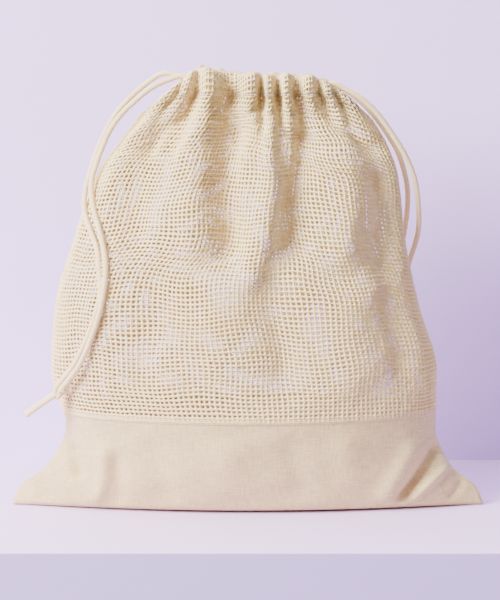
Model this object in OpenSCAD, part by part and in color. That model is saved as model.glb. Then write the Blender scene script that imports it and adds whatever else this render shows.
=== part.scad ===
// Drawstring laundry bag: net body, canvas base band, gathered drawcord hem and two drawcords.
// The bag stands on its base in its loaded shape. Units are millimetres, +Z is up, -Y is the front,
// and the origin is on the floor under the middle of the base.

/* [Bag] */
// Width across the two flattened base corners
base_w = 356; // [340:1:372]
// Front to back thickness at the fullest level
bag_depth = 136; // [128:1:144]
// Height of the top edge of the net, where the hem starts
rim_h = 309.5; // [300:0.5:318]
// Height of the canvas band at the base
band_h = 66; // [56:1:80]
// Thickness of a panel
cloth_t = 1.5; // [1.2:0.1:2]

/* [Drawcord hem] */
// Length of the gathered hem between its two open ends
hem_len = 104; // [100:1:110]
// Distance from the bag's middle plane to each hem channel's centre
hem_y = 13; // [13:0.5:15]
// How far each end of the hem moves in as the cords are pulled
draw_travel = 20; // [5:1:20]

/* [Drawcords] */
// Diameter of the cords
cord_d = 4; // [3:0.5:4.5]
// Height step between the two cords inside a channel
cord_step = 6; // [5.5:0.5:6.5]

/* [Hidden] */

// Colours of the natural cotton
net_colour = "#ece2d0";
canvas_colour = "#e4d9c8";
seam_colour = "#d8cab4";
cord_colour = "#e6dac6";

// Scales of the outline and of the cord routes, which are written for the default sizes
kx = base_w / 356;
ky = bag_depth / 136;
kz = rim_h / 309.5;
fit = [kx, ky, kz];

// Outline of the standing bag: height, left half width, right half width, half thickness and
// sharpness of the section (1 is a pointed lens, 0.5 an ellipse)
outline = [
    [0, 178, 178, 34, 1.05],
    [14, 172, 172, 44, 0.95],
    [30, 152, 153, 53, 0.75],
    [60, 137, 141, 62, 0.57],
    [104, 147, 141, 68, 0.52],
    [150, 144, 128, 68, 0.50],
    [200, 130, 117, 62, 0.50],
    [250, 114, 112, 47, 0.50],
    [285, 88, 96, 31, 0.50],
    [310, 58, 68, 22, 0.50]
];
function column(k) = [for (row = outline) [row[0] * kz, row[k]]];
left_column = column(1);
right_column = column(2);
depth_column = column(3);
sharp_column = column(4);
function left_w(z) = lookup(z, left_column) * kx;
function right_w(z) = lookup(z, right_column) * kx;
function half_depth(z) = lookup(z, depth_column) * ky;
function sharpness(z) = lookup(z, sharp_column);

// Seam allowances are a folded strip between the front and back panels
seam_t = 1.5;
seam_w = 6;
join_h = 4;
join_proud = 0.5;
bottom_seam_half = 169 * kx;
join_low = band_h - join_h / 2;
join_high = band_h + join_h / 2;

// Points across one panel, closer together towards the side seams
across = 28;

// Drawcord hem: the middle of each channel, and the two end sleeves that slide over it
mouth_x = 6 * kx;
hem_z = rim_h + 11;
channel_w = 6.4;
channel_h = 13;
slide_gap = 0.5;
sleeve_len = 26;
sleeve_overlap = 4;
middle_len = hem_len - 2 * (sleeve_len - sleeve_overlap);
hem_round = 2.5;
foot_gap = 1.5;
foot_root = 0.1;
foot_len = hem_len - 2 * (sleeve_len + draw_travel) - 2 * foot_gap;
left_exit = mouth_x - hem_len / 2;
right_exit = mouth_x + hem_len / 2;
sleeve_out_w = channel_w + 2 * cloth_t + 2 * slide_gap + 2 * cloth_t;
sleeve_out_h = channel_h + 2 * cloth_t + 2 * slide_gap + 2 * cloth_t;
bartack_len = 5;
bartack_h = 4;

// Cord heights: the left cord runs above the right cord all through the channels
left_cord_z = hem_z + cord_step / 2;
right_cord_z = hem_z - cord_step / 2;
turn_back = 2;
straight_out = 6;
cord_sides = 8;
rings_per_span = 2;

// Routes of the free runs after their straight start, down to the knot
left_front_route = [
    [-70, -14, 316], [-84, -14, 305], [-95, -14, 294], [-104, -14, 280], [-113, -14, 257],
    [-116, -17, 243], [-114, -25, 227], [-109, -36, 211], [-105, -45, 195], [-104, -50, 181],
    [-106, -53, 164], [-110, -53, 147], [-117, -50, 128], [-124, -45, 113], [-131, -40, 103],
    [-137, -34, 95]
];
left_back_route = [
    [-64, 13, 325], [-78, 12, 316], [-94, 8, 301], [-103, 3, 288], [-111, -3, 271],
    [-117, -8, 253], [-121, -11, 237], [-121, -16, 223], [-117, -26, 212], [-111, -37, 198],
    [-109, -43, 183], [-108, -47, 167], [-112, -48, 150], [-119, -44, 131], [-128, -38, 113],
    [-136, -32, 102], [-141, -28, 95.5]
];
right_front_route = [
    [72, -13, 314], [84, -13, 307], [95, -11, 297], [107, -7, 281], [118, -2, 263],
    [125, 3, 245], [128, 8, 223], [128, 15, 205], [123, 24, 185], [118, 33, 166],
    [114, 41, 148], [114, 45, 130], [117, 45, 112], [120, 43, 97], [121, 41, 83]
];
right_back_route = [
    [70, 13, 315], [82, 13, 306], [94, 13, 294], [105, 13, 279], [112, 13, 267],
    [117, 14, 253], [120, 16, 238], [120, 20, 221], [117, 27, 198], [111, 36, 179],
    [106, 44, 160], [104, 50, 142], [106, 52, 124], [110, 50, 108], [113, 47, 96],
    [116, 45, 83]
];

// Knots: centre, the way the tails leave, and size. The barrel is slimmer than its two wraps
left_knot_at = [-140, -31, 91];
left_tail_dir = [-25, 3, -16];
right_knot_at = [118.5, 43, 78];
right_tail_dir = [1, -1, -28];
knot_r = 5.2;
knot_core_r = 4;
knot_len = 10;
tail_len = 27;
tail_spread = 2.3;

function unit(v) = v / norm(v);
function scaled(p) = [p[0] * fit[0], p[1] * fit[1], p[2] * fit[2]];

// One ring of a panel at height z, drawn in by inset and set at its own level
function panel_ring(z, inset, level) = [
    for (i = [0 : across])
        let (u = -cos(180 * i / across), w = (u < 0 ? left_w(z) : right_w(z)) - inset)
        [u * w, -seam_t / 2 - (half_depth(z) - inset) * pow(max(0, 1 - u * u), sharpness(z)), level]
];
function seam_ring(inset, level) = [
    for (p = panel_ring(0, inset, level)) [p[0], -seam_t / 2, level]
];
function flat(rings) = [for (ring = rings) for (p = ring) p];

// A thick curved sheet between matching outer and inner rings
module thick_sheet(outer, inner) {
    n = len(outer[0]) - 1;
    m = len(outer) - 1;
    shift = (n + 1) * (m + 1);
    function at(i, j) = j * (n + 1) + i;
    function inside(i, j) = shift + at(i, j);
    faces = [
        for (j = [0 : m - 1]) for (i = [0 : n - 1]) each [
            [at(i, j), at(i, j + 1), at(i + 1, j + 1)],
            [at(i, j), at(i + 1, j + 1), at(i + 1, j)],
            [inside(i, j), inside(i + 1, j + 1), inside(i, j + 1)],
            [inside(i, j), inside(i + 1, j), inside(i + 1, j + 1)]
        ],
        for (i = [0 : n - 1]) each [
            [at(i, 0), at(i + 1, 0), inside(i + 1, 0)],
            [at(i, 0), inside(i + 1, 0), inside(i, 0)],
            [at(i + 1, m), at(i, m), inside(i, m)],
            [at(i + 1, m), inside(i, m), inside(i + 1, m)]
        ],
        for (j = [0 : m - 1]) each [
            [at(0, j + 1), at(0, j), inside(0, j)],
            [at(0, j + 1), inside(0, j), inside(0, j + 1)],
            [at(n, j), at(n, j + 1), inside(n, j + 1)],
            [at(n, j), inside(n, j + 1), inside(n, j)]
        ]
    ];
    polyhedron(points = concat(flat(outer), flat(inner)), faces = faces, convexity = 6);
}

// The front panels; the back ones are their mirror images
module canvas_panel() {
    levels = [14, 30, 47, join_low];
    thick_sheet(
        concat([seam_ring(0, 0), panel_ring(0, 0, 0)], [for (z = levels) panel_ring(z, 0, z)]),
        concat([seam_ring(cloth_t, cloth_t), panel_ring(0, cloth_t, cloth_t)],
               [for (z = levels) panel_ring(z, cloth_t, z)])
    );
}
module net_panel() {
    rows = 12;
    levels = [for (k = [0 : rows]) join_high + (rim_h - join_high) * k / rows];
    thick_sheet(
        [for (z = levels) panel_ring(z, 0, z)],
        [for (z = levels) panel_ring(z, cloth_t, z)]
    );
}
module join_panel() {
    levels = [join_low, join_high];
    thick_sheet(
        [for (z = levels) panel_ring(z, -join_proud, z)],
        [for (z = levels) panel_ring(z, cloth_t + join_proud, z)]
    );
}
module to_back() { mirror([0, 1, 0]) children(); }

module canvas_front() { color(canvas_colour) canvas_panel(); }
module canvas_back() { color(canvas_colour) to_back() canvas_panel(); }
module net_front() { color(net_colour) net_panel(); }
module net_back() { color(net_colour) to_back() net_panel(); }
module front_join_seam() { color(seam_colour) join_panel(); }
module back_join_seam() { color(seam_colour) to_back() join_panel(); }

// Upright strip in the bag's middle plane, from an outline in X and Z
module middle_strip(points) {
    translate([0, seam_t / 2, 0]) rotate([90, 0, 0]) linear_extrude(seam_t) polygon(points);
}
seam_levels = [for (row = outline) min(row[0] * kz, rim_h)];
function reversed(list) = [for (k = [len(list) - 1 : -1 : 0]) list[k]];
module left_side_seam() {
    color(seam_colour) middle_strip(concat(
        [for (z = seam_levels) [-left_w(z), z]],
        [for (z = reversed(seam_levels)) [seam_w - left_w(z), z]]
    ));
}
module right_side_seam() {
    color(seam_colour) middle_strip(concat(
        [for (z = seam_levels) [right_w(z), z]],
        [for (z = reversed(seam_levels)) [right_w(z) - seam_w, z]]
    ));
}
module bottom_seam() {
    half = bottom_seam_half;
    color(seam_colour) middle_strip([[-half, 0], [half, 0], [half, seam_w], [-half, seam_w]]);
}

// Rounded rectangle, centred, as a plain 2D outline
module rounded(w, h, r) {
    square([w - 2 * r, h], center = true);
    square([w, h - 2 * r], center = true);
    for (x = [-1, 1]) for (y = [-1, 1])
        translate([x * (w / 2 - r), y * (h / 2 - r)]) circle(r = r, $fn = 32);
}
// Flattened tube of cloth along X, from x0 on, with its clear inside size
module cloth_tube(x0, length, y, inner_w, inner_h) {
    translate([x0, y, hem_z]) rotate([90, 0, 90]) linear_extrude(length) difference() {
        rounded(inner_w + 2 * cloth_t, inner_h + 2 * cloth_t, hem_round);
        rounded(inner_w, inner_h, hem_round - cloth_t);
    }
}
// Middle of a channel, with the strip that joins it to the top edge of the net
module hem_middle(y) {
    tube_low = hem_z - channel_h / 2 - cloth_t;
    color(net_colour) union() {
        cloth_tube(mouth_x - middle_len / 2, middle_len, y, channel_w, channel_h);
        translate([mouth_x - foot_len / 2, y - cloth_t / 2, rim_h])
            cube([foot_len, cloth_t, tube_low - rim_h + foot_root]);
    }
}
module hem_sleeve(x0, y) {
    grown = 2 * (cloth_t + slide_gap);
    color(net_colour) cloth_tube(x0, sleeve_len, y, channel_w + grown, channel_h + grown);
}
module bartack(x0) {
    width = 2 * hem_y - sleeve_out_w;
    color(seam_colour) translate([x0, -width / 2, hem_z - sleeve_out_h / 2])
        cube([bartack_len, width, bartack_h]);
}
module front_hem_middle() { hem_middle(-hem_y); }
module back_hem_middle() { hem_middle(hem_y); }
module front_hem_left() { hem_sleeve(left_exit, -hem_y); }
module back_hem_left() { hem_sleeve(left_exit, hem_y); }
module left_bartack() { bartack(left_exit); }
module front_hem_right() { hem_sleeve(right_exit - sleeve_len, -hem_y); }
module back_hem_right() { hem_sleeve(right_exit - sleeve_len, hem_y); }
module right_bartack() { bartack(right_exit - bartack_len); }

// Cord inside the hem: both straight stretches and the turn round the far end, built for a cord
// that leaves at the left; turn_x is where the turn starts
module hem_loop(exit_x, turn_x, z) {
    low = min(exit_x, turn_x);
    color(cord_colour) translate([0, 0, z]) union() {
        for (y = [-hem_y, hem_y])
            translate([low, y, 0]) rotate([0, 90, 0])
                cylinder(d = cord_d, h = abs(turn_x - exit_x), $fn = 32);
        translate([turn_x, 0, 0]) rotate([0, 0, turn_x > exit_x ? -90 : 90])
            rotate_extrude(angle = 180, $fn = 64) translate([hem_y, 0]) circle(d = cord_d, $fn = 32);
    }
}

// Smooth curve through the points of a route
function curve_point(p0, p1, p2, p3, t) = 0.5 * (
    2 * p1 + (p2 - p0) * t + (2 * p0 - 5 * p1 + 4 * p2 - p3) * t * t
    + (3 * p1 - p0 - 3 * p2 + p3) * t * t * t
);
function smooth(p) = [
    for (k = [0 : len(p) - 2]) for (s = [0 : rings_per_span - 1])
        curve_point(p[max(k - 1, 0)], p[k], p[k + 1], p[min(k + 2, len(p) - 1)], s / rings_per_span),
    p[len(p) - 1]
];
// Round tube swept along a curve that never runs along Y
module tube(path, d) {
    n = len(path);
    rings = [
        for (k = [0 : n - 1])
            let (
                along = unit(path[min(k + 1, n - 1)] - path[max(k - 1, 0)]),
                side = unit(cross(along, [0, 1, 0])),
                up = cross(along, side)
            )
            for (s = [0 : cord_sides - 1])
                let (a = 360 * s / cord_sides)
                path[k] + d / 2 * (cos(a) * side + sin(a) * up)
    ];
    faces = concat(
        [[for (s = [cord_sides - 1 : -1 : 0]) s]],
        [[for (s = [0 : cord_sides - 1]) (n - 1) * cord_sides + s]],
        [for (k = [0 : n - 2]) for (s = [0 : cord_sides - 1])
            let (a = k * cord_sides, b = (s + 1) % cord_sides)
            each [[a + s, a + b, a + cord_sides + b], [a + s, a + cord_sides + b, a + cord_sides + s]]]
    );
    polyhedron(points = rings, faces = [for (f = faces) reversed(f)], convexity = 6);
}
// Free run of a cord: straight out of the hem, then along its route
module cord_run(exit_x, y, z, way, route) {
    start = [exit_x, y, z];
    color(cord_colour) tube(
        smooth(concat([start, start + [way * straight_out, 0, 0]], [for (p = route) scaled(p)])),
        cord_d
    );
}
// Knot: a short barrel with two wraps round it, its axis along the tails
module knot(at, dir) {
    along = unit(dir);
    color(cord_colour) translate(scaled(at))
        rotate([0, acos(along[2]), atan2(along[1], along[0])]) union() {
            cylinder(r = knot_core_r, h = knot_len, center = true, $fn = 32);
            for (z = [-1, 1]) translate([0, 0, z * (knot_len / 2 - cord_d / 2)])
                rotate_extrude($fn = 32) translate([knot_r - cord_d / 2, 0])
                    circle(d = cord_d, $fn = 24);
        }
}
// The two cut ends past the knot
module tails(at, dir) {
    along = unit(dir);
    color(cord_colour) translate(scaled(at))
        rotate([0, acos(along[2]), atan2(along[1], along[0])])
            for (side = [-1, 1]) translate([0, side * tail_spread, knot_len / 2])
                cylinder(d = cord_d, h = tail_len, $fn = 24);
}
module left_cord_in_hem() { hem_loop(left_exit, right_exit - turn_back, left_cord_z); }
module left_cord_front_run() { cord_run(left_exit, -hem_y, left_cord_z, -1, left_front_route); }
module left_cord_back_run() { cord_run(left_exit, hem_y, left_cord_z, -1, left_back_route); }
module left_knot() { knot(left_knot_at, left_tail_dir); }
module left_cord_tails() { tails(left_knot_at, left_tail_dir); }
module right_cord_in_hem() { hem_loop(right_exit, left_exit + turn_back, right_cord_z); }
module right_cord_front_run() { cord_run(right_exit, -hem_y, right_cord_z, 1, right_front_route); }
module right_cord_back_run() { cord_run(right_exit, hem_y, right_cord_z, 1, right_back_route); }
module right_knot() { knot(right_knot_at, right_tail_dir); }
module right_cord_tails() { tails(right_knot_at, right_tail_dir); }

canvas_front();
canvas_back();
bottom_seam();
net_front();
net_back();
front_join_seam();
back_join_seam();
left_side_seam();
right_side_seam();
front_hem_middle();
back_hem_middle();
front_hem_left();
back_hem_left();
left_bartack();
front_hem_right();
back_hem_right();
right_bartack();
left_cord_in_hem();
left_cord_front_run();
left_cord_back_run();
left_knot();
left_cord_tails();
right_cord_in_hem();
right_cord_front_run();
right_cord_back_run();
right_knot();
right_cord_tails();
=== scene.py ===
import math

import bpy
import numpy as np
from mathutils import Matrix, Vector


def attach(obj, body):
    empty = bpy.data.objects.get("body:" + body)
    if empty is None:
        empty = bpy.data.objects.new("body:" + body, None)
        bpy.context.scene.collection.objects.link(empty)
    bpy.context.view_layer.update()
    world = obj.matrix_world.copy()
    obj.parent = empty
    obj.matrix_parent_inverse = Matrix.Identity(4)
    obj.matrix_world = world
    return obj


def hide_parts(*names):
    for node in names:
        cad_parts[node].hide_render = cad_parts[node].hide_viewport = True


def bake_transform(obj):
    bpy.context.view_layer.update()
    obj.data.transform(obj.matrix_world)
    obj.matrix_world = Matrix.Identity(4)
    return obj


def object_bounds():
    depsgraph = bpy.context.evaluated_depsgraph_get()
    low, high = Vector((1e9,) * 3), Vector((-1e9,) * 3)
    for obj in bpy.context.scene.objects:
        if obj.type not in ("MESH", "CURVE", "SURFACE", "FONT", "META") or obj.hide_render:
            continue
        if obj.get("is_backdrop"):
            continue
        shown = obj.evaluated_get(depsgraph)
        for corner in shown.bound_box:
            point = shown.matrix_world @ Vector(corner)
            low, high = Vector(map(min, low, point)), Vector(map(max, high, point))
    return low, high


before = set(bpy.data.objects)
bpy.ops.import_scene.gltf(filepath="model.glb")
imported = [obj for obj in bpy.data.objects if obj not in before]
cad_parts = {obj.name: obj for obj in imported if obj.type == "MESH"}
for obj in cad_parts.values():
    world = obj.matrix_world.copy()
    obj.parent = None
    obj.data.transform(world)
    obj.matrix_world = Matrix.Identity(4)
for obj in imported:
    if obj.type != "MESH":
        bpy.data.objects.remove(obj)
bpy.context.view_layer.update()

MM = 0.001
TAU = 2 * math.pi
DEPTH = np.array([0.0, 1.0, 0.0])
UP = np.array([0.0, 0.0, 1.0])
# the bag's two faces, with the side of y that each is on
FACES = (("front", -1), ("back", 1))


# ---- camera
ELEVATION = math.radians(6.5)
TARGET = Vector((0.0015, 0.0, 0.156))
DISTANCE = 2.0
camera = bpy.data.objects.new("camera", bpy.data.cameras.new("camera"))
bpy.context.scene.collection.objects.link(camera)
back = Vector((0, -math.cos(ELEVATION), math.sin(ELEVATION)))
camera.location = TARGET + back * DISTANCE
camera.rotation_mode = "QUATERNION"
camera.rotation_quaternion = (-back).to_track_quat("-Z", "Y")
camera.data.sensor_width = 36
camera.data.lens = 160
camera.data.clip_end = 20
bpy.context.scene.camera = camera


# ---- small tools
def step(t):
    """eases from 0 to 1"""
    t = np.clip(t, 0, 1)
    return t * t * (3 - 2 * t)


def from_ends(t, share):
    """0 where t is 0 or 1, easing to 1 that share in from both"""
    return step(np.minimum(t, 1 - t) / share)


def unit(vectors):
    """the same vectors, along the last axis, at length one"""
    return vectors / np.maximum(np.linalg.norm(vectors, axis=-1, keepdims=True), 1e-9)


def arc(points):
    """length along a line at each of its points"""
    return np.r_[0, np.cumsum(np.linalg.norm(np.diff(points, axis=0), axis=1))]


def at_fraction(points, f):
    """the places at fractions f of a line's length"""
    s = arc(points)
    f = np.asarray(f) * s[-1]
    return np.stack([np.interp(f, s, points[:, a]) for a in range(points.shape[1])], 1)


def catmull(points, per_span=12):
    """smooth curve through points"""
    p = np.array(points, float)
    out = []
    for k in range(len(p) - 1):
        p0, p1, p2, p3 = p[max(k - 1, 0)], p[k], p[k + 1], p[min(k + 2, len(p) - 1)]
        t = (np.arange(per_span) / per_span)[:, None]
        out.append(0.5 * (2 * p1 + (p2 - p0) * t + (2 * p0 - 5 * p1 + 4 * p2 - p3) * t * t
                          + (3 * p1 - p0 - 3 * p2 + p3) * t ** 3))
    out.append(p[-1:])
    return np.vstack(out)


def even(points, spacing):
    """a line cut into equal steps of about spacing"""
    n = max(2, int(round(arc(points)[-1] / spacing)))
    return at_fraction(points, np.linspace(0, 1, n + 1))


def build(name, verts, faces, material, uv=None, tone=None, normals=None, smooth=True):
    """mesh object from millimetre points; uv and tone are per point"""
    mesh = bpy.data.meshes.new(name)
    mesh.from_pydata(np.asarray(verts, float) * MM, [], np.asarray(faces).tolist()
                     if isinstance(faces, np.ndarray) else faces)
    mesh.validate()
    mesh.polygons.foreach_set("use_smooth", [smooth] * len(mesh.polygons))
    if uv is not None:
        loops = np.zeros(len(mesh.loops), np.int32)
        mesh.loops.foreach_get("vertex_index", loops)
        layer = mesh.uv_layers.new(name="UVMap")
        layer.data.foreach_set("uv", np.asarray(uv, np.float32)[loops].ravel())
    if tone is not None:
        mesh.attributes.new("tone", "FLOAT", "POINT").data.foreach_set(
            "value", np.asarray(tone, np.float32))
    if normals is not None:
        mesh.normals_split_custom_set_from_vertices(np.asarray(normals, float).tolist())
    mesh.update()
    obj = bpy.data.objects.new(name, mesh)
    bpy.context.scene.collection.objects.link(obj)
    mesh.materials.append(material)
    return obj


# sine of the lean below which a path's start counts as upright
NEARLY_UPRIGHT = 0.2
BRAID_STRANDS = 6
BRAID_LAY = 7.0
BRAID_MEAN = 0.55
TUBE_END = 0.5


def frames(path):
    """tangent, side and up of a path, turned as little as possible"""
    t = unit(np.gradient(path, axis=0))
    side = np.zeros_like(t)
    s = np.cross(t[0], UP)
    if np.linalg.norm(s) < NEARLY_UPRIGHT:
        s = np.cross(t[0], DEPTH)
    for k in range(len(t)):
        s = unit(s - t[k] * (s @ t[k]))
        side[k] = s
    return t, side, np.cross(t, side)


def braid(angle, along):
    """height of a round braid's strands"""
    a = np.sin(BRAID_STRANDS * angle + TAU * along / BRAID_LAY)
    b = np.sin(BRAID_STRANDS * angle - TAU * along / BRAID_LAY + 1.0)
    return np.maximum(a, b)


def tube(path, radius, sides=20, relief=0.10):
    """verts, faces, uv of a braided tube along path, with low cones for ends"""
    t, side, up = frames(path)
    n = len(path)
    s = arc(path)
    a = TAU * np.arange(sides) / sides
    aa, ss = np.meshgrid(a, s)
    r = (radius * np.ones(n) if np.isscalar(radius) else np.asarray(radius))[:, None]
    r = r + relief * (braid(aa, ss) - BRAID_MEAN)
    v = (path[:, None] + r[..., None] * (np.cos(aa)[..., None] * side[:, None]
                                         + np.sin(aa)[..., None] * up[:, None]))
    verts = v.reshape(-1, 3)
    i = np.arange(n - 1)[:, None] * sides
    k = np.arange(sides)[None]
    k2 = (k + 1) % sides
    quads = np.stack([i + k, i + k2, i + sides + k2, i + sides + k], -1).reshape(-1, 4)
    uv = np.stack([aa * 2, ss], -1).reshape(-1, 2)
    faces = quads[:, ::-1].tolist()
    tip = len(verts)
    verts = np.vstack([verts, path[0] - t[0] * TUBE_END, path[-1] + t[-1] * TUBE_END])
    uv = np.vstack([uv, [0, 0], [0, s[-1]]])
    base = (n - 1) * sides
    for q in range(sides):
        faces.append([q, (q + 1) % sides, tip])
        faces.append([base + (q + 1) % sides, base + q, tip + 1])
    return verts, faces, uv


def turned(faces):
    """the same faces seen from the other side"""
    return [face[::-1] for face in faces]


def joined(parts):
    """one mesh from several (verts, faces, uv)"""
    verts, faces, uvs, n = [], [], [], 0
    for v, f, u in parts:
        verts.append(v)
        uvs.append(u)
        faces += [[i + n for i in face] for face in f]
        n += len(v)
    return np.vstack(verts), faces, np.vstack(uvs)


def place(piece, body, slot, *replaced):
    """puts a piece on a body, instead of any CAD nodes that it replaces; slot is not used"""
    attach(piece, body)
    if replaced:
        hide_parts(*replaced)


# ---- materials
def nodes_of(name):
    """new material, its node tree and its shader"""
    mat = bpy.data.materials.new(name)
    mat.use_nodes = True
    tree = mat.node_tree
    return mat, tree, tree.nodes["Principled BSDF"]


def math_node(tree, kind, a, b=None):
    n = tree.nodes.new("ShaderNodeMath")
    n.operation = kind
    for k, x in enumerate((a, b)):
        if x is None:
            continue
        if isinstance(x, (int, float)):
            n.inputs[k].default_value = x
        else:
            tree.links.new(x, n.inputs[k])
    return n.outputs[0]


def noise(tree, vector, scale, detail=2.0, rough=0.5, stretch=None):
    if stretch is not None:
        m = tree.nodes.new("ShaderNodeMapping")
        m.inputs["Scale"].default_value = stretch
        tree.links.new(vector, m.inputs["Vector"])
        vector = m.outputs[0]
    n = tree.nodes.new("ShaderNodeTexNoise")
    n.inputs["Scale"].default_value = scale
    n.inputs["Detail"].default_value = detail
    n.inputs["Roughness"].default_value = rough
    tree.links.new(vector, n.inputs["Vector"])
    return n.outputs[0]


def ramp(tree, value, low, high, dark, light):
    n = tree.nodes.new("ShaderNodeValToRGB")
    n.color_ramp.elements[0].position = low
    n.color_ramp.elements[1].position = high
    n.color_ramp.elements[0].color = (*dark, 1)
    n.color_ramp.elements[1].color = (*light, 1)
    tree.links.new(value, n.inputs[0])
    return n.outputs[0]


def bump(tree, shader, height, distance, strength=1.0, after=None):
    n = tree.nodes.new("ShaderNodeBump")
    n.inputs["Distance"].default_value = distance
    n.inputs["Strength"].default_value = strength
    tree.links.new(height, n.inputs["Height"])
    if after is not None:
        tree.links.new(after, n.inputs["Normal"])
    tree.links.new(n.outputs[0], shader.inputs["Normal"])
    return n.outputs[0]


def multiply_colour(tree, a, b, share=1.0):
    n = tree.nodes.new("ShaderNodeMix")
    n.data_type = "RGBA"
    n.blend_type = "MULTIPLY"
    n.inputs["Factor"].default_value = share
    tree.links.new(a, n.inputs["A"])
    tree.links.new(b, n.inputs["B"])
    return n.outputs["Result"]


def surface(shader, roughness, specular=0.5, sheen=0.0, sheen_roughness=0.5):
    shader.inputs["Roughness"].default_value = roughness
    shader.inputs["Specular IOR Level"].default_value = specular
    shader.inputs["Sheen Weight"].default_value = sheen
    shader.inputs["Sheen Roughness"].default_value = sheen_roughness


def coordinates(tree):
    """object coordinates, and the UV map whole and as u and v"""
    n = tree.nodes.new("ShaderNodeTexCoord")
    uv = tree.nodes.new("ShaderNodeSeparateXYZ")
    tree.links.new(n.outputs["UV"], uv.inputs[0])
    return n.outputs["Object"], n.outputs["UV"], uv.outputs[0], uv.outputs[1]


TWISTS_PER_CELL = 4


def yarn_material():
    mat, tree, shader = nodes_of("cotton_yarn")
    where, _, u, v = coordinates(tree)
    tone = tree.nodes.new("ShaderNodeAttribute")
    tone.attribute_name = "tone"
    fine = noise(tree, where, 700, 3)
    mixed = math_node(tree, "ADD", math_node(tree, "MULTIPLY", tone.outputs["Fac"], 0.55),
                      math_node(tree, "MULTIPLY", fine, 0.45))
    base = ramp(tree, mixed, 0.25, 0.75, (0.86, 0.61, 0.26), (0.98, 0.81, 0.45))
    patches = ramp(tree, noise(tree, where, 18, 2), 0.35, 0.65, (0.95, 0.93, 0.90), (1, 1, 1))
    tree.links.new(multiply_colour(tree, base, patches), shader.inputs["Base Color"])
    turns = math_node(tree, "MULTIPLY", math_node(tree, "ADD", u, v), TAU * TWISTS_PER_CELL)
    twist = math_node(tree, "SINE", turns)
    height = math_node(tree, "ADD", math_node(tree, "MULTIPLY", twist, 0.35), fine)
    bump(tree, shader, height, 0.00022, 0.8)
    surface(shader, 0.88, specular=0.25, sheen=0.25, sheen_roughness=0.6)
    return mat


# millimetres of canvas to each pair of threads
THREAD_PITCH = 1.1


def canvas_material():
    mat, tree, shader = nodes_of("cotton_canvas")
    where, uv, u, v = coordinates(tree)
    weft = noise(tree, uv, 1.0, 3, 0.6, stretch=(0.09, 1.05, 1))
    warp = noise(tree, uv, 1.0, 3, 0.6, stretch=(1.05, 0.09, 1))
    threads = math_node(tree, "ADD", math_node(tree, "MULTIPLY", weft, 0.5),
                        math_node(tree, "MULTIPLY", warp, 0.5))
    base = ramp(tree, threads, 0.38, 0.62, (0.55, 0.40, 0.185), (0.76, 0.60, 0.32))
    patches = ramp(tree, noise(tree, where, 14, 3), 0.3, 0.7, (0.94, 0.93, 0.92), (1, 1, 1))
    flecks = ramp(tree, noise(tree, uv, 1.3, 1), 0.66, 0.76,
                  (1, 1, 1), (0.74, 0.60, 0.42))
    colour = multiply_colour(tree, base, patches)
    tree.links.new(multiply_colour(tree, colour, flecks, 0.6), shader.inputs["Base Color"])
    over, under = (math_node(tree, "SINE", math_node(tree, "MULTIPLY", x, TAU / THREAD_PITCH))
                   for x in (u, v))
    weave = math_node(tree, "MULTIPLY", over, under)
    first = bump(tree, shader, weave, 0.00010, 0.6)
    bump(tree, shader, threads, 0.0010, 0.7, after=first)
    surface(shader, 0.92, specular=0.2, sheen=0.2, sheen_roughness=0.6)
    return mat


def cord_material():
    mat, tree, shader = nodes_of("cotton_cord")
    where = coordinates(tree)[0]
    fibre = noise(tree, where, 900, 3)
    base = ramp(tree, fibre, 0.3, 0.7, (0.76, 0.57, 0.30), (0.92, 0.75, 0.47))
    patches = ramp(tree, noise(tree, where, 60, 2), 0.35, 0.65, (0.93, 0.90, 0.86), (1, 1, 1))
    tree.links.new(multiply_colour(tree, base, patches), shader.inputs["Base Color"])
    bump(tree, shader, fibre, 0.0002, 0.7)
    surface(shader, 0.85, specular=0.3, sheen=0.25)
    return mat


def thread_material():
    mat, tree, shader = nodes_of("sewing_thread")
    where = coordinates(tree)[0]
    base = ramp(tree, noise(tree, where, 1200, 2), 0.3, 0.7, (0.70, 0.59, 0.44), (0.86, 0.77, 0.63))
    tree.links.new(base, shader.inputs["Base Color"])
    bump(tree, shader, noise(tree, where, 1800, 2), 0.0001, 0.6)
    surface(shader, 0.7, sheen=0.2)
    return mat


YARN, CANVAS, CORD, THREAD = yarn_material(), canvas_material(), cord_material(), thread_material()


# ---- cords
CORD_D = 4.0
CORD_R = CORD_D / 2
CORD_RELIEF = 0.11
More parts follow.
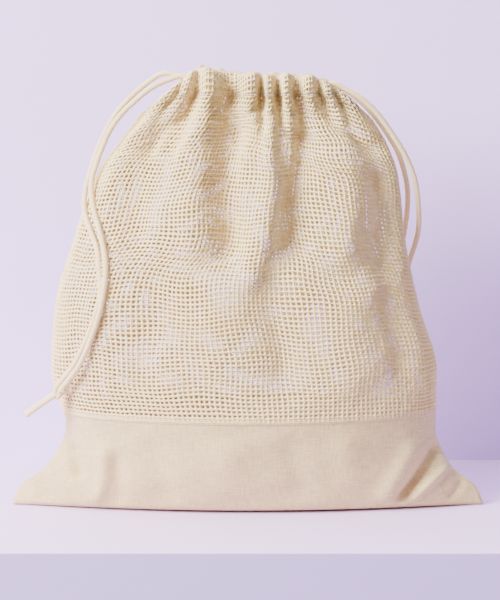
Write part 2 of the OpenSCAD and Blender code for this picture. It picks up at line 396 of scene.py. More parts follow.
# each free run from its exit in the hem, through a short straight start, down to its knot
ROUTES = {
    "left_front_cord": [
        (-46, -13, 323.5), (-52, -13, 323.5), (-70, -14, 316), (-84, -14, 305), (-95, -14, 294),
        (-104, -14, 280), (-113, -14, 257), (-116, -17, 243), (-114, -25, 227), (-109, -36, 211),
        (-105, -45, 195), (-104, -50, 181), (-106, -53, 164), (-110, -53, 147), (-117, -50, 128),
        (-124, -45, 113), (-131, -40, 103), (-137, -34, 95)],
    "left_back_cord": [
        (-46, 13, 323.5), (-52, 13, 323.5), (-64, 13, 325), (-78, 12, 316), (-94, 8, 301),
        (-103, 3, 288), (-111, -3, 271), (-117, -8, 253), (-121, -11, 237), (-121, -16, 223),
        (-117, -26, 212), (-111, -37, 198), (-109, -43, 183), (-108, -47, 167), (-112, -48, 150),
        (-119, -44, 131), (-128, -38, 113), (-136, -32, 102), (-141, -28, 95.5)],
    "right_front_cord": [
        (58, -13, 317.5), (64, -13, 317.5), (72, -13, 314), (84, -13, 307), (95, -11, 297),
        (107, -7, 281), (118, -2, 263), (125, 3, 245), (128, 8, 223), (128, 15, 205),
        (123, 24, 185), (118, 33, 166), (114, 41, 148), (114, 45, 130), (117, 45, 112),
        (120, 43, 97), (121, 41, 83)],
    "right_back_cord": [
        (58, 13, 317.5), (64, 13, 317.5), (70, 13, 315), (82, 13, 306), (94, 13, 294),
        (105, 13, 279), (112, 13, 267), (117, 14, 253), (120, 16, 238), (120, 20, 221),
        (117, 27, 198), (111, 36, 179), (106, 44, 160), (104, 50, 142), (106, 52, 124),
        (110, 50, 108), (113, 47, 96), (116, 45, 83)],
}
KNOTS = {
    "left": dict(at=(-140, -31, 91), tails=(-25, 3, -16)),
    "right": dict(at=(118.5, 43, 78), tails=(1, -1, -28)),
}


# overhand knot: size, reach of its lobes, stretch along the tails and across, depth, cord radius
KNOT_SIZE, KNOT_LOBE = 1.5, 1.7
KNOT_LONG, KNOT_NARROW, KNOT_THICK = 1.05, 0.92, 1.75
TIGHT_R = 1.95
# cut tails: length, distance to each side, radius gained at the frayed end, depth of braid
TAIL_LENGTH, TAIL_SPREAD, TAIL_FRAY, TAIL_RELIEF = 32, 2.1, 0.35, 0.16


def knot_path(centre, along):
    """a tight overhand knot: its loop lies in the plane of along and the upright"""
    a = unit(along)
    n = unit(a * (DEPTH @ a) - DEPTH)
    b = np.cross(n, a)
    t = np.linspace(0, TAU, 241)
    x = np.sin(t) + KNOT_LOBE * np.sin(2 * t)
    y = np.cos(t) - KNOT_LOBE * np.cos(2 * t)
    z = -np.sin(3 * t)
    return (centre + KNOT_SIZE * (x[:, None] * a * KNOT_LONG + y[:, None] * b * KNOT_NARROW)
            + KNOT_THICK * z[:, None] * n)


def tail_path(centre, along, across, k):
    """the knot's tail number k, 1 or 2, on its own side of the line along"""
    spread = across * (TAIL_SPREAD if k == 1 else -TAIL_SPREAD)
    start = centre + spread * 0.6 - along * 1.5
    return even(catmull([
        start,
        start + along * 8 + spread * 0.3,
        start + along * 17 + spread * 0.4 - UP * 0.2,
        start + along * (25 - k) + spread * 0.3 - UP * 0.8,
        start + along * (TAIL_LENGTH - 0.6 * k) + spread * 0.2 - UP * 1.5]), 0.6)


for side, knot in KNOTS.items():
    centre = np.array(knot["at"], float)
    along = unit(np.array(knot["tails"], float))
    across = unit(np.cross(np.cross(along, [0, 1.0, 0.25]), along))
    v, f, uv = tube(even(knot_path(centre, along), 0.6)[:-1], TIGHT_R, 20, 0.10)
    wraps = build(f"{side}_knot_wraps", v, f, CORD, uv)
    place(wraps, f"{side}_drawstring", "cord", f"{side}_knot")
    for row in ("front", "back"):
        name = f"{side}_{row}_cord"
        points = [np.array(p, float) for p in ROUTES[name]]
        points.append(centre + 0.45 * (points[-1] - centre))
        path = even(catmull(points), 0.7)
        v, f, uv = tube(path, CORD_R, 24, CORD_RELIEF)
        cord = build(name, v, f, CORD, uv)
        place(cord, f"{side}_drawstring", "cord", f"{side}_cord_{row}_run")
    for k in (1, 2):
        path = tail_path(centre, along, across, k)
        s = arc(path)
        radius = TIGHT_R + TAIL_FRAY * step((s - s[-1] + 4) / 4)
        v, f, uv = tube(path, radius, 24, TAIL_RELIEF)
        tail = build(f"{side}_cord_tail_{k}", v, f, CORD, uv)
        place(tail, f"{side}_drawstring", "cord", f"{side}_cord_tails")

# each cord inside the hem, as (x, z) from its exit to where it turns back round the far end
IN_HEM = {
    "left": [(-46, 323.5), (-10, 322.2), (25, 321.4), (37, 321)],
    "right": [(58, 317.5), (30, 316.9), (-26, 316.5), (-40, 316.5)],
}
HEM_Y, TURN_REACH = 13, 9
for side, run in IN_HEM.items():
    reach = TURN_REACH if side == "left" else -TURN_REACH
    x, z = run[-1]
    points = [(px, -HEM_Y, pz) for px, pz in run]
    points += [(x + 0.75 * reach, -9.5, z), (x + reach, 0, z), (x + 0.75 * reach, 9.5, z)]
    points += [(px, HEM_Y, pz) for px, pz in reversed(run)]
    v, f, uv = tube(even(catmull(points), 1.0), CORD_R, 20, CORD_RELIEF)
    piece = build(f"{side}_cord_inside_hem", v, f, CORD, uv)
    place(piece, f"{side}_drawstring", "cord", f"{side}_cord_in_hem")


# ---- outline of the standing bag
# height, left half width, right half width, half thickness, sharpness of the section at the sides
LEFT_W, RIGHT_W, HALF_T, SHARPNESS = 1, 2, 3, 4
OUTLINE = np.array([
    [0, 178, 178, 34, 1.05], [14, 172, 172, 44, 0.95], [30, 152, 153, 53, 0.75],
    [60, 137, 141, 62, 0.57], [104, 147, 141, 68, 0.52], [150, 144, 128, 68, 0.5],
    [200, 130, 117, 62, 0.5], [250, 112, 111, 47, 0.5], [276, 95, 102, 35, 0.5],
    [296, 79, 88, 26, 0.5], [310, 65, 74, 19, 0.5]])
# cells of a net panel, and its lower and upper edges
COLS, ROWS = 90, 74
MIDDLE = COLS // 2
HALVES = (("left", slice(0, MIDDLE + 1)), ("right", slice(MIDDLE, COLS + 1)))
JOIN_Z, STITCH_Z = 73.0, 309.0
# points to a level line while it is shaped, and the cloth's gap to the plane of the side seams
SAMPLES = 601
SEAM_GAP = 0.6


def smooth_profile():
    """the outline's columns as curves with no overshoot, one row a millimetre"""
    z = np.arange(0, OUTLINE[-1, 0] + 1)
    p, n = OUTLINE, len(OUTLINE)
    out = np.zeros((len(z), 5))
    out[:, 0] = z
    h = np.diff(p[:, 0])
    i = np.clip(np.searchsorted(p[:, 0], z, "right") - 1, 0, n - 2)
    t = (z - p[i, 0]) / h[i]
    for k in (LEFT_W, RIGHT_W, HALF_T, SHARPNESS):
        d = np.diff(p[:, k]) / h
        m = np.zeros(n)
        for q in range(1, n - 1):
            m[q] = 0 if d[q - 1] * d[q] <= 0 else 2 * d[q - 1] * d[q] / (d[q - 1] + d[q])
        m[0], m[-1] = d[0], d[-1]
        out[:, k] = ((2 * t ** 3 - 3 * t * t + 1) * p[i, k] + (t ** 3 - 2 * t * t + t) * h[i] * m[i]
                     + (3 * t * t - 2 * t ** 3) * p[i + 1, k] + (t ** 3 - t * t) * h[i] * m[i + 1])
    return out


PROFILE = smooth_profile()
SHARE = np.linspace(0, 1, SAMPLES)


def profile(z, k):
    return np.interp(z, PROFILE[:, 0], PROFILE[:, k])


def ring(z_mid, left, right, z_left, z_right):
    """one level of a panel, from the left side seam to the right one, at even steps"""
    u = -np.cos(np.linspace(0, np.pi, SAMPLES))
    z = z_mid + (np.where(u < 0, z_left, z_right) - z_mid) * np.abs(u) ** 3
    x = u * np.where(u < 0, left, right)
    y = SEAM_GAP + profile(z_mid, HALF_T) * np.maximum(0, 1 - u * u) ** profile(z_mid, SHARPNESS)
    return at_fraction(np.stack([x, y, z], 1), SHARE)


# ---- folds of the net
# pleats along the hem: x of ridges and of valleys, then for each ridge how far down it runs and how
# deep it is, in parts of PLEAT_RUN and PLEAT_DEPTH
PLEAT_RUN, PLEAT_DEPTH = 30, 10
FRONT_PLEATS = dict(
    ridges=[-60, -47, -29, 3.5, 15.5, 28, 45.5, 59, 72],
    valleys=[-54, -40, -12, 9.5, 21.5, 35, 53, 66],
    runs=[0.5, 0.8, 1.7, 1.3, 1.7, 1.8, 0.7, 0.5, 0.4],
    sizes=[0.3, 0.45, 1.15, 1.15, 1.0, 1.15, 0.95, 0.75, 0.45])
BACK_PLEATS = dict(
    ridges=[-50, -37, -22, -9, 6, 18, 32, 47, 60],
    valleys=[-44, -29, -16, -2, 12, 24, 39, 53],
    runs=[0.6, 1.0, 1.3, 1.1, 1.5, 1.2, 1.6, 0.9, 0.6],
    sizes=[0.5, 0.9, 1.0, 0.8, 1.1, 0.9, 1.0, 0.8, 0.5])
# the hem's line in plan, (x, y), and its upper edge, (x, z)
HEM_LINE = np.array([[-77, 0], [-76, 4], [-71, 8.5], [-62, 13], [-50, 16.2], [-34, 17], [0, 17],
                     [50, 17], [64, 15], [76, 10.5], [85, 5.5], [89, 2.5], [90, 0]], float)
HEM_TOP = np.array([[-77, 307], [-62, 319], [-50, 326.5], [-38, 330], [-20, 327], [0, 325], [20, 324.5],
                    [36, 324], [46, 323.5], [56, 321.5], [64, 318], [74, 311.5], [90, 301]], float)
# broad folds: height of the ridge, or depth of the valley, its line as (x, z), width, fade
FRONT_FOLDS = [
    (-18, [(-10, 282), (-14, 262), (-16, 235), (-11, 200)], 11, 24),
    (8, [(-8, 296), (-6, 289)], 9, 8),
    (8, [(-30, 300), (-35, 265), (-40, 215)], 11, 30),
    (9, [(13, 290), (14, 255), (9, 215), (1, 190)], 11, 26),
    (4, [(24, 276), (23, 250), (16, 212)], 4, 18),
    (-17, [(42, 276), (38, 258), (33, 228), (30, 202)], 11, 20),
    (8, [(68, 268), (72, 245), (70, 205)], 13, 26),
    (-11, [(96, 246), (104, 222), (101, 190)], 9, 22),
    (-7, [(-70, 262), (-82, 240), (-84, 205)], 10, 24),
    (4, [(-96, 255), (-104, 230)], 9, 25),
    (6, [(-44, 306), (-68, 294), (-86, 276)], 5, 9),
    (-9, [(-36, 300), (-58, 288), (-76, 268)], 6, 9),
    (5, [(42, 305), (66, 299), (92, 284)], 5, 8),
    (-16, [(40, 298), (66, 286), (90, 271)], 7, 9),
    (5, [(46, 282), (72, 271), (96, 256)], 7, 10),
    (5, [(-20, 168), (-24, 120)], 24, 30),
    (-6, [(20, 172), (28, 110)], 14, 30),
    (5, [(72, 156), (78, 110)], 20, 30),
    (-5.5, [(-66, 175), (-76, 110)], 13, 35),
    (-5, [(104, 160), (112, 120)], 9, 30),
    (4, [(-104, 180), (-112, 130)], 10, 30),
]
BACK_FOLDS = [
    (-9, [(10, 290), (14, 262), (20, 235), (26, 200)], 11, 28),
    (5, [(-12, 285), (-14, 250), (-12, 215)], 13, 30),
    (-8, [(-36, 285), (-42, 245), (-44, 205)], 9, 28),
    (5, [(-64, 270), (-70, 235)], 13, 28),
    (5, [(40, 285), (48, 245), (50, 205)], 13, 30),
    (-5.5, [(70, 275), (82, 235), (84, 200)], 10, 28),
    (3.5, [(-52, 303), (-80, 290), (-97, 274)], 6, 10),
    (3.5, [(62, 303), (90, 289), (104, 274)], 6, 10),
    (-3, [(0, 150), (4, 110)], 18, 30),
    (2.5, [(-50, 140), (-52, 110)], 24, 30),
]


def fold_field(x, z, folds):
    """how far the folds lift the cloth at each place"""
    total = np.zeros_like(x)
    for height, line, width, fade in folds:
        p = np.array(line, float)
        p = p[np.argsort(p[:, 1])]
        xc = np.interp(z, p[:, 1], p[:, 0])
        e = step((z - p[0, 1] + fade) / fade) * step((p[-1, 1] + fade - z) / fade)
        total += height * np.exp(-((x - xc) / width) ** 2) * e
    return total


HEM_BASE = at_fraction(HEM_LINE, SHARE)


def hem_share(x):
    """the share of the hem's length at x"""
    return np.interp(x, HEM_BASE[:, 0], SHARE)


def pleat_wave(pleats):
    """1 on a pleat's ridge and -1 in a valley, along the hem line"""
    places = hem_share(np.sort(pleats["ridges"] + pleats["valleys"]))
    phase = np.arange(len(places)) * np.pi
    phase = np.r_[-0.75 * np.pi, phase, phase[-1] + 0.75 * np.pi]
    return np.cos(np.interp(SHARE, np.r_[0, places, 1], phase))


def of_ridges(pleats, key):
    """a value that each ridge has, spread along the hem line"""
    return np.interp(SHARE, hem_share(np.array(pleats["ridges"])), pleats[key])


# how far the hem's ends drop, from where, and how sharply
LEFT_DROP, RIGHT_DROP = 14, 18
LEFT_BEND, RIGHT_BEND = -48, 60
DROP_POWER = 1.3


def hem_drop(t):
    """how far the hem's ends hang below its middle, down the bag's shoulders"""
    x = np.interp(t, SHARE, HEM_BASE[:, 0])
    left = LEFT_DROP * np.clip((LEFT_BEND - x) / (LEFT_BEND - HEM_LINE[0, 0]), 0, 1) ** DROP_POWER
    right = RIGHT_DROP * np.clip((x - RIGHT_BEND) / (HEM_LINE[-1, 0] - RIGHT_BEND), 0, 1) ** DROP_POWER
    return left + right


def outward(points):
    """unit normals in plan, out of the bag, of a line on the back's side that runs left to right"""
    d = np.gradient(points[:, :2], axis=0)
    return unit(np.stack([-d[:, 1], d[:, 0]], 1))


# height at which the panel starts to turn into the hem's line, and the share of each end of a line
# where the pleats fade into the side seam
GATHER_Z = 262
PLEAT_FADE = 0.06


def net_panel(sign, pleats, folds):
    """crossing points of the net's yarns, rows upwards, columns left to right"""
    columns = np.arange(COLS + 1) / COLS
    rows = np.arange(ROWS + 1) / ROWS
    zz = np.linspace(JOIN_Z, STITCH_Z, 300)
    z_left, z_right = (JOIN_Z + (zz - JOIN_Z) * (STITCH_Z - drop - JOIN_Z) / (STITCH_Z - JOIN_Z)
                       for drop in hem_drop(np.array([0.0, 1.0])))
    left = at_fraction(np.stack([profile(z_left, LEFT_W), 0 * zz, z_left], 1), rows)
    right = at_fraction(np.stack([profile(z_right, RIGHT_W), 0 * zz, z_right], 1), rows)
    middle = at_fraction(np.stack([0 * zz, profile(zz, HALF_T), zz], 1), rows)
    runs, sizes = of_ridges(pleats, "runs"), of_ridges(pleats, "sizes")
    wave = pleat_wave(pleats)
    edge = from_ends(SHARE, PLEAT_FADE)
    net = np.zeros((ROWS + 1, COLS + 1, 3))
    for j in range(ROWS + 1):
        z = middle[j, 2]
        open_line = ring(z, left[j, 0], right[j, 0], left[j, 2], right[j, 2])
        hem_line = np.stack([HEM_BASE[:, 0], HEM_BASE[:, 1], z - hem_drop(SHARE)], 1)
        hem_line[:, 0] *= np.where(hem_line[:, 0] < 0, -left[j, 0] / HEM_BASE[0, 0],
                                   right[j, 0] / HEM_BASE[-1, 0])
        gathered = step((z - GATHER_Z) / (STITCH_Z - GATHER_Z))
        p = open_line * (1 - gathered) + hem_line * gathered
        down = STITCH_Z - z
        d = PLEAT_DEPTH * sizes * np.exp(-(down / (PLEAT_RUN * runs)) ** 1.5) * wave
        d = d + fold_field(p[:, 0], p[:, 2], folds) * step(down / PLEAT_RUN)
        p[:, :2] += outward(p) * (d * edge)[:, None]
        p[:, 1] = np.maximum(p[:, 1], SEAM_GAP)
        net[j] = at_fraction(p, columns)
    net[..., 1] *= sign
    return net


# hanging: steps, speed kept, weight, pull of the wanted shape; then how firmly yarns resist stretch
# and closing up along rows and columns, how fast bends even out, and the cell's size
SETTLE_STEPS, SETTLE_SPEED, SETTLE_WEIGHT, SETTLE_PULL = 40, 0.9, 0.02, 0.14
STRETCH, CLOSE_ROW, CLOSE_COLUMN = 0.6, 0.05, 0.3
EVEN_ROW, EVEN_COLUMN = 0.02, 0.05
CELL_W, CELL_H = 3.96, 3.5


def settle(net):
    """lets the sheet hang: its cells even out and its folds soften, near the wanted shape"""
    x, v = net.copy(), np.zeros_like(net)
    free = np.zeros(x.shape[:2])
    free[1:-1, 1:-1] = 1

    def pull(x, free, rest, close):
        """draws neighbours along the first axis towards their distance at rest"""
        for first in (0, 1):
            a, b = x[first:-1:2], x[first + 1::2]
            free_a, free_b = free[first:-1:2][:len(b)], free[first + 1::2]
            a = a[:len(b)]
            d = b - a
            length = np.linalg.norm(d, axis=-1)
            c = length - rest
            g = np.where(c > 0, STRETCH, close) * c
            g = (g / (np.maximum(length, 1e-9) * np.maximum(free_a + free_b, 1e-9)))[..., None] * d
            a += g * free_a[..., None]
            b -= g * free_b[..., None]

    for _ in range(SETTLE_STEPS):
        old = x.copy()
        v *= SETTLE_SPEED
        v[..., 2] -= SETTLE_WEIGHT * free
        x += v * free[..., None]
        x += SETTLE_PULL * (net - x) * free[..., None]
        for _ in range(3):
            pull(x.transpose(1, 0, 2), free.T, CELL_W, CLOSE_ROW)
            pull(x, free, CELL_H, CLOSE_COLUMN)
            x[:, 1:-1] += EVEN_ROW * (0.5 * (x[:, 2:] + x[:, :-2]) - x[:, 1:-1]) * free[:, 1:-1, None]
            x[1:-1] += EVEN_COLUMN * (0.5 * (x[2:] + x[:-2]) - x[1:-1]) * free[1:-1, :, None]
        v = x - old
    return x


def wander(sign):
    """the easy drift of the yarns from true rows and columns"""
    u = np.linspace(0, 1, COLS + 1)[None]
    v = np.linspace(0, 1, ROWS + 1)[:, None]
    dx = 1.1 * np.sin(TAU * (2.3 * u + 1.7 * v) + sign) + 0.8 * np.sin(TAU * (4.2 * v - 3.1 * u))
    dz = 1.3 * np.sin(TAU * (2.9 * u - 1.3 * v) - sign) + 0.9 * np.sin(TAU * (5.1 * u + 2.2 * v))
    fade = from_ends(u, 0.1) * from_ends(v, 0.12)
    return np.stack([dx * fade, 0 * fade, dz * fade], -1)


# how far the hem's outside and inside stand off its line, with the part that follows the pleats, and
# how near they come at its very ends
HEM_OUT, HEM_OUT_WAVE = 5.4, 6.6
HEM_IN, HEM_IN_WAVE = 8.6, 1.6
HEM_CLOSED = 1.3
HEM_FADE = 0.08
HEM_ROWS = 13
# how the hem leans along x for each millimetre up, at each end, and over what share of the line
LEFT_LEAN, LEFT_LEAN_SHARE = 1.15, 0.32
RIGHT_LEAN, RIGHT_LEAN_SHARE = -0.95, 0.30


def hem_section(a, b, m, low, high):
    """the loop cut across: out to a, over to b and back in, from m on the stitch line"""
    h = high - low
    section = [(m, low), (0.5 * a + 0.5 * m, low + 0.17 * h), (a, low + 0.4 * h),
               (a + 0.3, low + 0.62 * h), (a - 0.2, low + 0.78 * h), (a - 1.8, low + 0.92 * h),
               (0.5 * (a + b) + 1, high), (b + 2.0, low + 0.94 * h), (b + 0.3, low + 0.75 * h),
               (b, low + 0.5 * h), (0.8 * b + 0.2 * m, low + 0.27 * h),
               (m * 0.75 + b * 0.25, low + 1.2)]
    return at_fraction(catmull(section, 6), np.linspace(0, 1, HEM_ROWS + 1))


def hem_panel(sign, pleats, stitch_row):
    """the doubled net round the drawcords: up the outside, over, and down the inside"""
    normal = outward(HEM_BASE)
    pleated = pleat_wave(pleats) * of_ridges(pleats, "sizes")
    edge = from_ends(SHARE, PLEAT_FADE)
    line = HEM_BASE + normal * (PLEAT_DEPTH * pleated * edge)[:, None]
    line[:, 1] = np.maximum(line[:, 1], SEAM_GAP)
    s = arc(line)
    t = np.interp(np.arange(COLS + 1) / COLS * s[-1], s, SHARE)
    e = from_ends(t, HEM_FADE)
    wave = np.interp(t, SHARE, pleated)
    base_x, base_y = (np.interp(t, SHARE, HEM_BASE[:, a]) for a in (0, 1))
    normal_x, normal_y = (np.interp(t, SHARE, normal[:, a]) for a in (0, 1))
    outer = e * (HEM_OUT + HEM_OUT_WAVE * wave) + (1 - e) * HEM_CLOSED
    inner = -e * (HEM_IN - HEM_IN_WAVE * wave) - (1 - e) * HEM_CLOSED
    stitched = e * PLEAT_DEPTH * wave + (1 - e) * 0.2
    low = STITCH_Z - hem_drop(t)
    high = np.interp(base_x, HEM_TOP[:, 0], HEM_TOP[:, 1]) + 0.9 * wave
    high += 0.7 * np.sin(base_x * 0.31 + sign)
    lean = ((1 - step(t / LEFT_LEAN_SHARE)) * LEFT_LEAN
            + (1 - step((1 - t) / RIGHT_LEAN_SHARE)) * RIGHT_LEAN)
    loops = []
    for c in range(COLS + 1):
        q = hem_section(outer[c], inner[c], stitched[c], low[c], high[c])
        loops.append(np.stack([base_x[c] + normal_x[c] * q[:, 0] + lean[c] * (q[:, 1] - low[c]),
                               base_y[c] + normal_y[c] * q[:, 0], q[:, 1]], 1))
    hem = np.stack(loops, 1)
    hem[..., 1] = np.maximum(hem[..., 1], 0.5) * sign
    hem[0] = stitch_row
    return hem


def sheet_normals(x):
    """unit normals of a sheet whose rows run upwards and columns left to right"""
    return unit(np.cross(np.gradient(x, axis=1), np.gradient(x, axis=0)))


# radius of the yarn and of its knots in each sheet of net
YARN_R = {
    "front": dict(yarn=0.78, knot=0.90),
    "back": dict(yarn=0.86, knot=0.98),
    "hem": dict(yarn=0.74, knot=0.86),
}
# how much yarns differ in tone and thickness, and knots in size
TONE_SPREAD, YARN_SPREAD, KNOT_SPREAD = 0.11, 0.10, 0.08
# the most of a cell that half a yarn may fill, and how far a hole's corners are rounded
MOST_FILLED = 0.36
CORNER_U, CORNER_V = 0.085, 0.09


def netting(x, rng, yarn, knot):
    """verts, quads, uv, tone and normals of knotted yarn along the rows and columns of x"""
    rows, cols = x.shape[0] - 1, x.shape[1] - 1
    n = sheet_normals(x)
    du = np.linalg.norm(np.diff(x, axis=1), axis=-1)
    dv = np.linalg.norm(np.diff(x, axis=0), axis=-1)
    row_tone = rng.normal(0, TONE_SPREAD, rows + 1)
    col_tone = rng.normal(0, TONE_SPREAD, cols + 1)
    h_r = yarn * (1 + YARN_SPREAD * rng.standard_normal((rows + 1, cols)))
    v_r = yarn * (1 + YARN_SPREAD * rng.standard_normal((rows, cols + 1)))
    k_r = knot * (1 + KNOT_SPREAD * rng.standard_normal((rows + 1, cols + 1)))
    jj, kk = np.meshgrid(np.arange(rows + 1), np.arange(cols + 1), indexing="ij")
    h_mid, h_n = 0.5 * (x[:, 1:] + x[:, :-1]), unit(n[:, 1:] + n[:, :-1])
    v_mid, v_n = 0.5 * (x[1:] + x[:-1]), unit(n[1:] + n[:-1])
    verts, norms, uvs, tones = [], [], [], []
    count = 0

    def add(p, normal, uv, tone):
        """adds points and gives their numbers"""
        nonlocal count
        shape = p.shape[:-1]
        verts.append(p.reshape(-1, 3))
        norms.append(normal.reshape(-1, 3))
        uvs.append(uv.reshape(-1, 2))
        tones.append(np.broadcast_to(tone, shape).ravel())
        numbers = count + np.arange(int(np.prod(shape))).reshape(shape)
        count += numbers.size
        return numbers

    grid_uv = np.stack([kk, jj], -1).astype(float)
    h_uv = grid_uv[:, :-1] + [0.5, 0]
    v_uv = grid_uv[:-1] + [0, 0.5]
    g_tone = 0.5 + 0.5 * (row_tone[:, None] + col_tone[None])
    h_tone = 0.5 + np.broadcast_to(row_tone[:, None], h_r.shape)
    v_tone = 0.5 + np.broadcast_to(col_tone[None], v_r.shape)
    layer = []
    for s in (1, -1):
        layer.append((add(x + s * n * k_r[..., None], s * n, grid_uv, g_tone),
                      add(h_mid + s * h_n * h_r[..., None], s * h_n, h_uv, h_tone),
                      add(v_mid + s * v_n * v_r[..., None], s * v_n, v_uv, v_tone)))
    p00, p10, p01, p11 = x[:-1, :-1], x[:-1, 1:], x[1:, :-1], x[1:, 1:]
    wide = 0.5 * (du[1:] + du[:-1])
    tall = 0.5 * (dv[:, 1:] + dv[:, :-1])
    # each hole's edges and rounded corners, as shares of its cell
    a_l, a_r = (np.minimum(r / wide, MOST_FILLED) for r in (v_r[:, :-1], v_r[:, 1:]))
    b_b, b_t = (np.minimum(r / tall, MOST_FILLED) for r in (h_r[:-1], h_r[1:]))
    in_l, in_r = a_l + CORNER_U, 1 - a_r - CORNER_U
    in_b, in_t = b_b + CORNER_V, 1 - b_t - CORNER_V
    half = np.full_like(a_l, 0.5)
    spots = [(in_l, in_b), (half, b_b), (in_r, in_b), (1 - a_r, half),
             (in_r, in_t), (half, 1 - b_t), (in_l, in_t), (a_l, half)]
    centre = 0.25 * (p00 + p10 + p01 + p11)
    inner = []
    side_tone = [g_tone[:-1, :-1], h_tone[:-1], g_tone[:-1, 1:], v_tone[:, 1:],
                 g_tone[1:, 1:], h_tone[1:], g_tone[1:, :-1], v_tone[:, :-1]]
    for (a, b), tone in zip(spots, side_tone):
        a3, b3 = a[..., None], b[..., None]
        p = p00 * (1 - a3) * (1 - b3) + p10 * a3 * (1 - b3) + p01 * (1 - a3) * b3 + p11 * a3 * b3
        uv = np.stack([kk[:-1, :-1] + a, jj[:-1, :-1] + b], -1)
        inner.append(add(p, unit(centre - p), uv, tone))
    quads = []
    for s, (g, h, v) in enumerate(layer):
        outer = [g[:-1, :-1], h[:-1], g[:-1, 1:], v[:, 1:], g[1:, 1:], h[1:], g[1:, :-1], v[:, :-1]]
        for q in range(8):
            r = (q + 1) % 8
            face = [outer[q], outer[r], inner[r], inner[q]]
            if s:
                face = face[::-1]
            quads.append(np.stack([i.ravel() for i in face], -1))

    def rim(top, bottom, flip):
        a, b, c, d = top[:-1], top[1:], bottom[1:], bottom[:-1]
        face = [a, b, c, d] if flip else [d, c, b, a]
        quads.append(np.stack(face, -1))

    def in_turn(knots, yarns):
        out = np.empty(len(knots) + len(yarns), int)
        out[0::2], out[1::2] = knots, yarns
        return out

    (gt, ht, vt), (gb, hb, vb) = layer
    rim(in_turn(gt[0], ht[0]), in_turn(gb[0], hb[0]), False)
    rim(in_turn(gt[-1], ht[-1]), in_turn(gb[-1], hb[-1]), True)
    rim(in_turn(gt[:, 0], vt[:, 0]), in_turn(gb[:, 0], vb[:, 0]), True)
    rim(in_turn(gt[:, -1], vt[:, -1]), in_turn(gb[:, -1], vb[:, -1]), False)
    return (np.vstack(verts), np.vstack(quads), np.vstack(uvs), np.concatenate(tones),
            np.vstack(norms))


def netting_piece(name, x, rng, kind):
    v, f, uv, tone, n = netting(x, rng, **YARN_R[kind])
    return build(name, v, f, YARN, uv, tone, n)


def gathers(obj):
    """bakes the piece's placement into its mesh"""
    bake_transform(obj)


# how far knots stray
STRAY = 0.16
rng = np.random.default_rng(7)
NETS, HEMS = {}, {}
for (face, sign), pleats, folds in zip(FACES, (FRONT_PLEATS, BACK_PLEATS), (FRONT_FOLDS, BACK_FOLDS)):
    net = settle(net_panel(sign, pleats, folds))
    hem = hem_panel(sign, pleats, net[-1])
    stray = rng.normal(0, STRAY, net.shape)
    stray[[0, -1]] = 0
    stray[:, [0, MIDDLE, -1]] = 0
    NETS[face], HEMS[face] = net + wander(sign) + stray, hem
    for side, cut in HALVES:
        # the back's columns run the other way, so that its yarns face out too
        way = 1 if face == "front" else -1
        piece = netting_piece(f"net_{face}_{side}", NETS[face][:, cut][:, ::way], rng, face)
        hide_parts(f"net_{face}")
        gathers(piece)
        piece = netting_piece(f"hem_{face}_{side}", hem[:, cut][:, ::way], rng, "hem")
        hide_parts(f"{face}_hem_middle", f"{face}_hem_{side}")
        gathers(piece)


# ---- canvas band
# creases, given as the net's folds are
CREASES = {
    "front": [
        (-11, [(118, 12), (127, 24), (140, 43)], 5.5, 9),
        (6, [(118, 6), (133, 19), (151, 32)], 5.5, 8),
        (4, [(104, 14), (112, 30), (122, 48)], 8, 12),
        (-3.5, [(152, 8), (162, 20)], 4.5, 8),
        (-7, [(-127, 30), (-132, 44)], 5, 9),
        (4.5, [(-113, 10), (-108, 26), (-107, 44)], 6, 12),
        (-3, [(-96, 14), (-96, 40)], 6, 12),
        (-2.5, [(-146, 4), (-154, 18)], 4, 8),
        (-2.4, [(-60, 20), (-68, 50)], 11, 16),
        (2.2, [(-20, 20), (-12, 52)], 16, 16),
        (-2.4, [(40, 22), (32, 54)], 11, 14),
        (2.2, [(76, 26), (72, 52)], 12, 14),
    ],
    "back": [
        (-7, [(-102, 4), (-114, 16), (-126, 30), (-138, 46)], 7, 12),
        (4, [(-120, 4), (-134, 18), (-146, 32)], 7, 10),
        (-5, [(104, 8), (118, 26), (130, 42)], 7, 12),
        (-2.2, [(20, 22), (26, 50)], 14, 16),
        (2, [(-40, 24), (-34, 50)], 16, 14),
    ],
}
CANVAS_COLS, CANVAS_ROWS = 180, 50
CANVAS_T = 0.9
BAND_FLAT = (0.356, 0.102)
# bottom seam's half length and its place on the outer surface
SEAM_HALF, SEAM_Y, SEAM_Z = 176, 0.3, 0.8
# the band rolls under below ROLL_Z, down to FLOOR_Z
ROLL_Z, FLOOR_Z, ROLL = 4, 0.6, 0.85
LEVELS = np.r_[FLOOR_Z, 1.5, 3.5, 7, np.arange(11, JOIN_Z - 1, 4), JOIN_Z]


